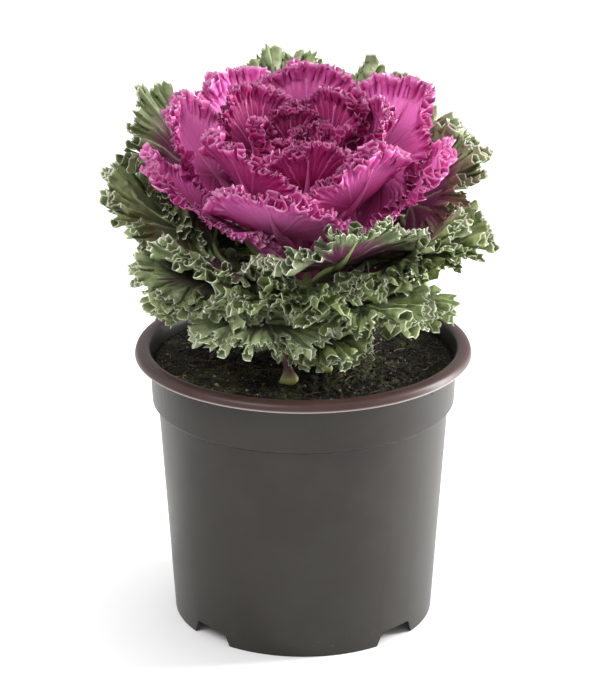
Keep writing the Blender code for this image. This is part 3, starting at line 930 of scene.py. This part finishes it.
def select_border():
    """Selects the border of the active object's mesh in edit mode."""
    bpy.ops.object.mode_set(mode="EDIT")
    bpy.ops.mesh.select_all(action="SELECT")
    bpy.ops.mesh.region_to_loop()


def turned_piece(name, profile, sides):
    """A closed turned solid: a disc at the profile's start, raised ring by ring to its end."""
    bpy.ops.object.select_all(action="DESELECT")
    radius, height = profile[0]
    bpy.ops.mesh.primitive_circle_add(
        vertices=sides, radius=radius, location=(0, 0, height), fill_type="NGON"
    )
    piece = bpy.context.object
    piece.name = name
    bpy.ops.object.transform_apply(location=True, rotation=True, scale=True)
    select_border()
    raise_rings(profile)
    return piece


def cut_away(piece, tool):
    """Cuts the tool out of the piece, and removes the tool."""
    modifier = piece.modifiers.new("cut", "BOOLEAN")
    modifier.object = tool
    modifier.operation = "DIFFERENCE"
    modifier.solver = "EXACT"
    bpy.context.view_layer.objects.active = piece
    bpy.ops.object.modifier_apply(modifier=modifier.name)
    bpy.data.objects.remove(tool)


def notch_tool(angle):
    """A trapezium block across the pot's skirt, turned to its place."""
    height = NOTCH_HEIGHT - NOTCH_BELOW
    bpy.ops.mesh.primitive_cube_add(size=1.0, location=(0, 0, 0))
    tool = bpy.context.object
    bpy.ops.object.mode_set(mode="EDIT")
    bpy.ops.transform.resize(value=(NOTCH_DEPTH, NOTCH_WIDTH_HIGH, height))
    bpy.ops.transform.translate(value=(BASE_RADIUS, 0, (NOTCH_HEIGHT + NOTCH_BELOW) / 2))
    bpy.ops.mesh.select_all(action="DESELECT")
    bpy.ops.object.mode_set(mode="OBJECT")
    for vert in tool.data.vertices:
        vert.select = vert.co.z < 0
    bpy.ops.object.mode_set(mode="EDIT")
    wide = 1 + (NOTCH_WIDTH_LOW / NOTCH_WIDTH_HIGH - 1) * height / NOTCH_HEIGHT
    bpy.ops.transform.resize(value=(1.0, wide, 1.0), center_override=(BASE_RADIUS, 0, 0))
    bpy.ops.mesh.select_all(action="DESELECT")
    bpy.ops.object.mode_set(mode="OBJECT")
    bevel = tool.modifiers.new("soft corners", "BEVEL")
    bevel.width = NOTCH_CORNER
    bevel.segments = 3
    tool.rotation_euler.z = angle
    return tool


def make_pot_mesh():
    """The pot, turned from a profile of (radius, height, corner), with its notches and holes."""
    floor = FLOOR_UNDER + FLOOR_THICKNESS
    foot = wall_radius(0.0)
    step = wall_radius(STEP_HEIGHT)
    inside = [
        (FLOOR_HUB, floor, 0.0),
        (wall_radius(floor) - WALL, floor, 1.5 * MM),
        (step - WALL, STEP_HEIGHT + WALL, 1.0 * MM),
        (BAND_RADIUS_LOW - WALL, STEP_HEIGHT + 2 * WALL, 1.0 * MM),
        (BAND_RADIUS_HIGH - WALL, BAND_TOP, 2.0 * MM),
    ]
    lip = [(RIM_RADIUS - inward, RIM_TOP - down, corner) for inward, down, corner in LIP]
    outside = [
        (BAND_RADIUS_HIGH, BAND_TOP - BAND_LEDGE, 1.5 * MM),
        (BAND_RADIUS_LOW, STEP_HEIGHT + STEP_RISE, 0.7 * MM),
        (step, STEP_HEIGHT - STEP_DROP, 0.7 * MM),
        (foot, 0.0, 0.6 * MM),
        (foot - WALL, 0.0, 0.5 * MM),
        (foot - WALL, FLOOR_UNDER, 0.8 * MM),
        (FLOOR_HUB, FLOOR_UNDER, 0.0),
    ]
    pot = turned_piece("nursery_pot", rounded(inside + lip + outside), POT_SIDES)
    for n in range(NOTCHES):
        cut_away(pot, notch_tool(math.tau * (n + 0.5) / NOTCHES))
    for n in range(DRAIN_HOLES):
        angle = math.tau * n / DRAIN_HOLES
        place = (DRAIN_CIRCLE * math.cos(angle), DRAIN_CIRCLE * math.sin(angle), FLOOR_UNDER)
        bpy.ops.mesh.primitive_cylinder_add(
            vertices=DRAIN_SIDES, radius=DRAIN_RADIUS, depth=DRAIN_CUT, location=place
        )
        cut_away(pot, bpy.context.object)
    bpy.context.view_layer.objects.active = pot
    pot.select_set(True)
    bpy.ops.object.shade_smooth_by_angle(angle=SMOOTH_ANGLE)
    return pot


def pot_skin(colours):
    net = Net("pot plastic")
    place = net.place()
    x, y, height = place.part(0), place.part(1), place.part(2)
    radius = (x * x + y * y) ** 0.5
    blotch = net.noise(place, *POT_BLOTCH)
    fine = net.noise(place, *POT_FINE)
    stretched = net.node("ShaderNodeMapping", {}, {"Vector": place, "Scale": POT_RING_STRETCH})
    rings = net.noise(stretched, *POT_RINGS)
    plastic = net.mix(blotch.between(0.3, 0.7), colours.wall, colours.wall_light)
    plastic = net.mix(height.between(0.13, 0.0) * 0.35, plastic, colours.wall_low)
    lip = (height - (RIM_TOP - 6.2 * MM)).between(0.0, 0.7 * MM)
    lip = lip * radius.between(86.0 * MM, 87.2 * MM)
    plastic = net.mix(lip * 0.95, plastic, net.mix(blotch, colours.lip, colours.lip_light))
    # Painted highlight: a pale line along the outer lower edge of the lip.
    above = (height - (RIM_TOP - 5.2 * MM)).between(0.0, 1.2 * MM)
    edge = (radius - (RIM_RADIUS - 0.7 * MM)).between(0.0, 0.4 * MM) * (1 - above)
    plastic = net.mix(edge * 0.8, plastic, colours.lip_highlight)
    dust = net.noise(place, *POT_DUST).between(0.62, 0.78) * height.between(0.05, 0.0)
    plastic = net.mix(dust * 0.3, plastic, colours.dust)
    off_seam = (y.math("ARCTAN2", x) - SEAM_ANGLE).abs()
    on_band = height.between(STEP_HEIGHT - 1.0 * MM, STEP_HEIGHT + 1.5 * MM)
    seam = (1 - off_seam.between(*SEAM_HALF_ANGLES)) * on_band
    relief = rings * 0.25 + fine * 0.3 + blotch * 0.4 + seam * 0.8
    return net.finish(
        colour=plastic,
        roughness=blotch * 0.16 + fine * 0.08 + 0.27,
        normal=net.bump(relief, 0.35, 0.25 * MM),
        Specular_IOR_Level=0.32,
    )


class KALE_PG_pot(PropertyGroup):
    """Colours of the pot."""

    wall: colour_setting("Wall", "Dark plastic", (0.015, 0.012, 0.009))
    wall_light: colour_setting("Worn Wall", "Lighter patches of the wall", (0.023, 0.020, 0.015))
    wall_low: colour_setting("Lower Wall", "Olive tint near the foot", (0.022, 0.020, 0.014))
    lip: colour_setting("Lip", "Brown tint of the rim's lip", (0.026, 0.011, 0.009))
    lip_light: colour_setting("Light Lip", "Lighter patches of the lip", (0.074, 0.038, 0.036))
    # This colour is a painted highlight along the lip's lower edge.
    lip_highlight: colour_setting("Lip Highlight", "Painted highlight along the lip's lower edge", (0.42, 0.36, 0.35))
    dust: colour_setting("Dust", "Dust near the foot", (0.20, 0.19, 0.16))


class KALE_OT_pot(Operator):
    """Builds the nursery pot"""

    bl_idname = "kale.pot"
    bl_label = "Nursery Pot"

    def execute(self, context):
        pot = make_pot_mesh()
        pot.data.materials.append(pot_skin(context.scene.kale_pot))
        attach(pot, "root")
        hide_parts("pot")
        return {"FINISHED"}


def soil_height(x, y):
    """The soil's rise and fall: broad humps with crumbs of several sizes on them."""
    humps, lumps, crumbs = (
        noise.noise(Vector((x, y, level)) * scale) * height
        for scale, level, height in (SOIL_HUMPS, SOIL_LUMPS, SOIL_CRUMBS)
    )
    return humps + abs(lumps) + abs(crumbs) - SOIL_SINKS


def make_soil_mesh():
    """A fine round sheet of soil with a closed underside, which fills the pot."""
    bpy.ops.object.select_all(action="DESELECT")
    bpy.ops.mesh.primitive_grid_add(
        x_subdivisions=SOIL_CELLS, y_subdivisions=SOIL_CELLS, size=2.0
    )
    soil = bpy.context.object
    soil.name = "soil"
    spots = np.empty(len(soil.data.vertices) * 3)
    soil.data.vertices.foreach_get("co", spots)
    spots = spots.reshape(-1, 3)
    u, v = spots[:, 0].copy(), spots[:, 1].copy()
    spots[:, 0] = u * np.sqrt(1 - v * v / 2) * SOIL_RADIUS
    spots[:, 1] = v * np.sqrt(1 - u * u / 2) * SOIL_RADIUS
    middle = 1 - rising(np.hypot(spots[:, 0], spots[:, 1]) / SOIL_RADIUS, *SOIL_EDGE)
    rise = np.array([soil_height(x, y) for x, y in spots[:, :2]])
    spots[:, 2] = SOIL_TOP + rise * (SOIL_EDGE_RISE + (1 - SOIL_EDGE_RISE) * middle)
    soil.data.vertices.foreach_set("co", spots.ravel())
    select_border()
    raise_rings(((SOIL_RADIUS, SOIL_TOP), *SOIL_SIDE))
    soil.data.shade_smooth()
    return soil


def crumb(bm, place, size, draw, tone, layer):
    """One irregular grain of soil, bark or grit."""
    made = bmesh.ops.create_icosphere(bm, subdivisions=1, radius=size)["verts"]
    stretch = Vector([draw.uniform(*limits) for limits in CRUMB_STRETCH])
    turn = Euler([draw.uniform(0, math.tau) for _ in range(3)])
    for vert in made:
        bent = Vector(vert.co) * draw.uniform(*CRUMB_ROUGHNESS) * stretch
        bent.rotate(turn)
        vert.co = bent + place
        vert[layer] = tone


def fibre(bm, place, draw, tone, layer):
    """One short bent root fibre that lies on the soil."""
    heading = draw.uniform(0, math.tau)
    length = draw.uniform(*FIBRE_LENGTH) * MM
    thick = draw.uniform(*FIBRE_THICKNESS) * MM
    bend = draw.uniform(-FIBRE_BEND, FIBRE_BEND)
    verts = []
    spot = place.copy()
    for step in range(FIBRE_STEPS + 1):
        turn = heading + bend * step / FIBRE_STEPS
        way = Vector((math.cos(turn), math.sin(turn), draw.uniform(*FIBRE_RISE)))
        side = Vector((-way.y, way.x, 0)).normalized()
        up = way.cross(side).normalized()
        for corner in range(FIBRE_SIDES):
            angle = math.tau * corner / FIBRE_SIDES
            vert = bm.verts.new(spot + (side * math.cos(angle) + up * math.sin(angle)) * thick)
            vert[layer] = tone
            verts.append(vert)
        spot += way * length / FIBRE_STEPS
    for face in tube_faces(FIBRE_STEPS, FIBRE_SIDES):
        bm.faces.new([verts[n] for n in face])
    bm.faces.new(verts[:FIBRE_SIDES][::-1])
    bm.faces.new(verts[-FIBRE_SIDES:])


def soil_place(draw):
    """A place on the soil, spread evenly over it."""
    radius = SOIL_RADIUS * LOOSE_REACH * math.sqrt(draw.uniform(LOOSE_LEAST, 1.0))
    turn = draw.uniform(0, math.tau)
    x, y = radius * math.cos(turn), radius * math.sin(turn)
    return Vector((x, y, SOIL_TOP + soil_height(x, y) * LOOSE_SUNK))


def make_crumbs(crumbs, fibres):
    """Loose grains and root fibres on the soil, in one piece."""
    draw = random.Random(SEED + 1)
    bm = bmesh.new()
    layer = bm.verts.layers.float_vector.new("tone")
    for _ in range(crumbs):
        size = MM * 10 ** draw.uniform(*CRUMB_POWERS)
        pale = draw.random() ** CRUMB_PALE_POWER
        crumb(bm, soil_place(draw), size, draw, (pale, draw.random(), 0.0), layer)
    for _ in range(fibres):
        place = soil_place(draw) + Vector((0, 0, FIBRE_ABOVE))
        fibre(bm, place, draw, (draw.uniform(*FIBRE_TONE), draw.random(), 1.0), layer)
    mesh = bpy.data.meshes.new("soil_crumbs")
    bm.to_mesh(mesh)
    bm.free()
    return add_object("soil_crumbs", mesh)


def soil_skin(colours):
    net = Net("soil")
    place = net.place()
    coarse = net.noise(place, *SOIL_COARSE)
    fine = net.noise(place, *SOIL_FINE)
    earth = net.mix(coarse.between(0.38, 0.66), colours.soil_dark, colours.soil)
    # Small bright specks: partly pale grit and partly painted glints of the wet soil.
    grit_and_glint = net.noise(place, *SOIL_GRIT_AND_GLINT).between(0.64, 0.70) * coarse.between(0.4, 0.6)
    earth = net.mix(fine.between(0.60, 0.70) * 0.5, earth, colours.soil_pale)
    earth = net.mix(grit_and_glint * 0.7, earth, colours.grit_and_glint)
    moss = net.noise(place, *SOIL_MOSS).between(0.50, 0.60) * fine.between(0.42, 0.56)
    earth = net.mix(moss * 0.85, earth, colours.moss)
    relief = coarse * 0.8 + fine * 0.6
    return net.finish(
        colour=earth,
        roughness=coarse * 0.2 + 0.68,
        normal=net.bump(relief, 0.9, 1.0 * MM),
        Specular_IOR_Level=0.25,
    )


def crumb_skin(colours):
    net = Net("soil grains")
    tone, place = net.attribute("tone"), net.place()
    fine = net.noise(place, *CRUMB_FINE)
    grain = net.mix(tone.part(1), colours.soil_dark, colours.soil)
    grain = net.mix(tone.part(0).between(0.25, 1.0), grain, colours.soil_pale)
    grain = net.mix(tone.part(2) * 0.6, grain, colours.fibre)
    relief = net.bump(fine, 0.6, 0.3 * MM)
    return net.finish(colour=grain, roughness=fine * 0.2 + 0.7, normal=relief)


class KALE_PG_soil(PropertyGroup):
    """Colours and loose grains of the potting soil."""

    crumbs: IntProperty(name="Grains", description="Loose grains", default=2000, min=0)
    fibres: IntProperty(name="Fibres", description="Loose root fibres", default=130, min=0)
    soil_dark: colour_setting("Dark Soil", "Moist peat", (0.0025, 0.002, 0.001))
    soil: colour_setting("Soil", "Drier crumbs", (0.016, 0.012, 0.007))
    soil_pale: colour_setting("Pale Grains", "Wood and grit", (0.34, 0.29, 0.17))
    # These specks are partly pale grit and partly painted glints of the wet soil.
    grit_and_glint: colour_setting("Speck", "Pale grit and painted glints of wet soil", (0.42, 0.42, 0.32))
    moss: colour_setting("Moss", "Green film on the soil", (0.075, 0.080, 0.026))
    fibre: colour_setting("Fibre", "Dry root fibre", (0.13, 0.085, 0.045))


class KALE_OT_soil(Operator):
    """Builds the potting soil with its grains and fibres"""

    bl_idname = "kale.soil"
    bl_label = "Potting Soil"

    def execute(self, context):
        settings = context.scene.kale_soil
        soil, crumbs = make_soil_mesh(), make_crumbs(settings.crumbs, settings.fibres)
        soil.data.materials.append(soil_skin(settings))
        crumbs.data.materials.append(crumb_skin(settings))
        for piece in (soil, crumbs):
            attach(piece, "root")
        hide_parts("potting_soil")
        return {"FINISHED"}


def make_stem_mesh():
    """The stem from its foot to its tip, with the scars that fallen leaves leave."""
    rounding_from = STEM_SHOULDER - STEM_ROUNDING
    points = []
    for row in range(STEM_ROWS + 1):
        height = STEM_FOOT + (STEM_TIP - STEM_FOOT) * row / STEM_ROWS
        radius = stem_radius(height)
        if height > rounding_from:
            left = (STEM_TIP - height) / (STEM_TIP - rounding_from)
            radius *= math.sqrt(max(STEM_TIP_SHARE, left))
        for side in range(STEM_SIDES):
            turn = math.tau * side / STEM_SIDES
            x, y = math.cos(turn), math.sin(turn)
            spot = Vector((x * SCARS_ROUND, y * SCARS_ROUND, height * SCARS_ALONG))
            ring = radius + SCAR_DEPTH * noise.noise(spot)
            points.append((ring * x, ring * y, height))
    last = STEM_ROWS * STEM_SIDES
    faces = [tuple(range(STEM_SIDES))[::-1], tuple(range(last, last + STEM_SIDES))]
    mesh = bpy.data.meshes.new("kale_stem")
    mesh.from_pydata(leaned(*np.array(points).T), [], faces + tube_faces(STEM_ROWS, STEM_SIDES))
    mesh.shade_smooth()
    return add_object("kale_stem", mesh)


def stub_thickness(share):
    """An old petiole's radius over its full one: narrow at the soil, swollen above, then thin."""
    swelling = 0.55 + 0.75 * math.exp(-(((share - 0.14) / 0.16) ** 2))
    return swelling * min(1.0, 0.35 + share * 8)


def make_stubs():
    """Old petioles that bend down from the lowest leaves and end on the soil."""
    points, faces = [], []
    for *spots, size in STUBS:
        foot, knee, top = (np.array(spot) * MM for spot in spots)
        start = len(points)
        for row in range(STUB_ROWS + 1):
            share = row / STUB_ROWS
            rest = 1 - share
            middle = rest**2 * foot + 2 * share * rest * knee + share**2 * top
            way = 2 * rest * (knee - foot) + 2 * share * (top - knee)
            way /= np.linalg.norm(way)
            side = np.cross(way, (0.0, 1.0, 0.0))
            side /= np.linalg.norm(side)
            deep = np.cross(side, way) * STUB_FLATNESS
            radius = size * MM * stub_thickness(share)
            for n in range(STUB_SIDES):
                turn = math.tau * n / STUB_SIDES
                ridged = radius * (1 + STUB_RIDGE_HEIGHT * math.cos(STUB_RIDGES * turn))
                points.append(middle + (side * math.cos(turn) + deep * math.sin(turn)) * ridged)
        last = start + STUB_ROWS * STUB_SIDES
        faces.extend(face[::-1] for face in tube_faces(STUB_ROWS, STUB_SIDES, start))
        faces.append(tuple(range(start, start + STUB_SIDES)))
        faces.append(tuple(range(last, last + STUB_SIDES))[::-1])
    mesh = bpy.data.meshes.new("petiole_ends")
    mesh.from_pydata(points, [], faces)
    mesh.shade_smooth()
    return add_object("petiole_ends", mesh)


def stub_skin(colours):
    net = Net("petiole end skin")
    place = net.place()
    patch = net.noise(place, *STUB_PATCH)
    height = place.part(2) + patch * 6 * MM
    skin = net.mix(height.between(*STUB_PURPLE_FROM), colours.stub, colours.stub_purple)
    skin = net.mix(patch.between(0.5, 0.7) * 0.4, skin, colours.stalk)
    relief = net.bump(patch, 0.4, 0.5 * MM)
    return net.finish(colour=skin, roughness=patch * 0.2 + 0.4, normal=relief)


def stem_skin(colours):
    net = Net("stem skin")
    place = net.place()
    patch = net.noise(place, *STEM_PATCH)
    fine = net.noise(place, *STEM_FINE)
    skin = net.mix(patch.between(0.35, 0.65), colours.stalk, colours.vein)
    skin = net.mix(fine.between(0.55, 0.75) * 0.6, skin, colours.purple)
    relief = net.bump(patch + fine * 0.5, 0.5, 0.6 * MM)
    return net.finish(colour=skin, roughness=fine * 0.2 + 0.5, normal=relief)


class KALE_OT_stem(Operator):
    """Builds the stem"""

    bl_idname = "kale.stem"
    bl_label = "Stem"

    def execute(self, context):
        colours = context.scene.kale_leaves
        stem, stubs = make_stem_mesh(), make_stubs()
        stem.data.materials.append(stem_skin(colours))
        stubs.data.materials.append(stub_skin(colours))
        for piece in (stem, stubs):
            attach(piece, "root")
            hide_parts("kale_green_leaves")
        return {"FINISHED"}


class KALE_OT_green_leaves(Operator):
    """Builds the green outer leaves"""

    bl_idname = "kale.green_leaves"
    bl_label = "Green Leaves"

    def execute(self, context):
        skin = green_skin(context.scene.kale_leaves)
        for name, first, after_last in GREEN_GROUPS:
            piece = leaf_group(name, range(first, after_last), GREEN_LOOK, skin)
            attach(piece, "root")
            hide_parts("kale_green_leaves")
        return {"FINISHED"}


class KALE_OT_heart_leaves(Operator):
    """Builds the magenta leaves of the heart"""

    bl_idname = "kale.heart_leaves"
    bl_label = "Heart Leaves"

    def execute(self, context):
        skin = heart_skin(context.scene.kale_leaves)
        for name, first, after_last in HEART_GROUPS:
            piece = leaf_group(name, range(first, after_last), HEART_LOOK, skin)
            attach(piece, "root")
            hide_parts("kale_heart")
        return {"FINISHED"}


class KALE_PG_stage(PropertyGroup):
    """Camera and light."""

    distance: FloatProperty(
        name="Distance",
        description="Camera distance in front of the pot's axis",
        default=1.5519,
        unit="LENGTH",
    )
    height: FloatProperty(
        name="Height",
        description="Camera height over the floor",
        default=0.7470,
        unit="LENGTH",
    )
    tilt: FloatProperty(
        name="Tilt",
        description="Camera angle under the horizon",
        default=math.radians(20.7),
        subtype="ANGLE",
    )
    lens: FloatProperty(
        name="Focal Length",
        description="Camera focal length in millimetres",
        default=155.35,
    )
    sky: FloatProperty(
        name="Sky",
        description="Strength of the white light from all round",
        default=0.75,
        min=0.0,
    )
    floor_colour: colour_setting("Floor", "Pale floor", (0.9, 0.9, 0.9))


def area_light(name, place, target, size, power):
    data = bpy.data.lights.new(name, "AREA")
    data.shape = "RECTANGLE"
    data.size, data.size_y = size
    data.energy = power
    light = add_object(name, data)
    light.location = place
    towards = Vector(target) - Vector(place)
    light.rotation_euler = towards.to_track_quat("-Z", "Y").to_euler()


class KALE_OT_stage(Operator):
    """Sets the floor, the lights and the camera"""

    bl_idname = "kale.stage"
    bl_label = "Stage"

    def execute(self, context):
        stage = context.scene.kale_stage
        bpy.ops.mesh.primitive_plane_add(size=FLOOR_SIZE, location=(0, 0, 0))
        floor = context.object
        floor.name = "floor"
        net = Net("pale floor")
        floor.data.materials.append(net.finish(colour=tuple(stage.floor_colour), Roughness=0.9))
        world = bpy.data.worlds.new("studio")
        world.use_nodes = True
        background = world.node_tree.nodes["Background"]
        background.inputs["Color"].default_value = (1, 1, 1, 1)
        background.inputs["Strength"].default_value = stage.sky
        context.scene.world = world
        context.scene.view_settings.view_transform = "Standard"
        for light in LIGHTS:
            area_light(*light)
        camera = add_object("camera", bpy.data.cameras.new("camera"))
        camera.data.lens = stage.lens
        camera.location = (CAMERA_ASIDE, -stage.distance, stage.height)
        camera.rotation_euler = (math.pi / 2 - stage.tilt, 0, 0)
        context.scene.camera = camera
        return {"FINISHED"}


class KALE_PT_panel(Panel):
    """Lists the operators and their settings."""

    bl_label = "Ornamental Kale"
    bl_idname = "KALE_PT_panel"
    bl_space_type = "VIEW_3D"
    bl_region_type = "UI"
    bl_category = "Kale"

    def draw(self, context):
        for kind in OPERATORS:
            self.layout.operator(kind.bl_idname)
        for group, kind in GROUPS.items():
            for name in kind.__annotations__:
                self.layout.prop(getattr(context.scene, group), name)


OPERATORS = (
    KALE_OT_pot,
    KALE_OT_soil,
    KALE_OT_stem,
    KALE_OT_green_leaves,
    KALE_OT_heart_leaves,
    KALE_OT_stage,
)
GROUPS = {
    "kale_pot": KALE_PG_pot,
    "kale_soil": KALE_PG_soil,
    "kale_leaves": KALE_PG_leaves,
    "kale_stage": KALE_PG_stage,
}


def register():
    for kind in (*GROUPS.values(), *OPERATORS, KALE_PT_panel):
        bpy.utils.register_class(kind)
    for name, kind in GROUPS.items():
        setattr(bpy.types.Scene, name, PointerProperty(type=kind))


def unregister():
    for name in GROUPS:
        delattr(bpy.types.Scene, name)
    for kind in reversed((*GROUPS.values(), *OPERATORS, KALE_PT_panel)):
        bpy.utils.unregister_class(kind)


def main():
    register()
    bpy.ops.object.select_all(action="DESELECT")
    for kind in OPERATORS:
        package, name = kind.bl_idname.split(".")
        getattr(getattr(bpy.ops, package), name)()
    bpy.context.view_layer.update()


if __name__ == "__main__":
    main()
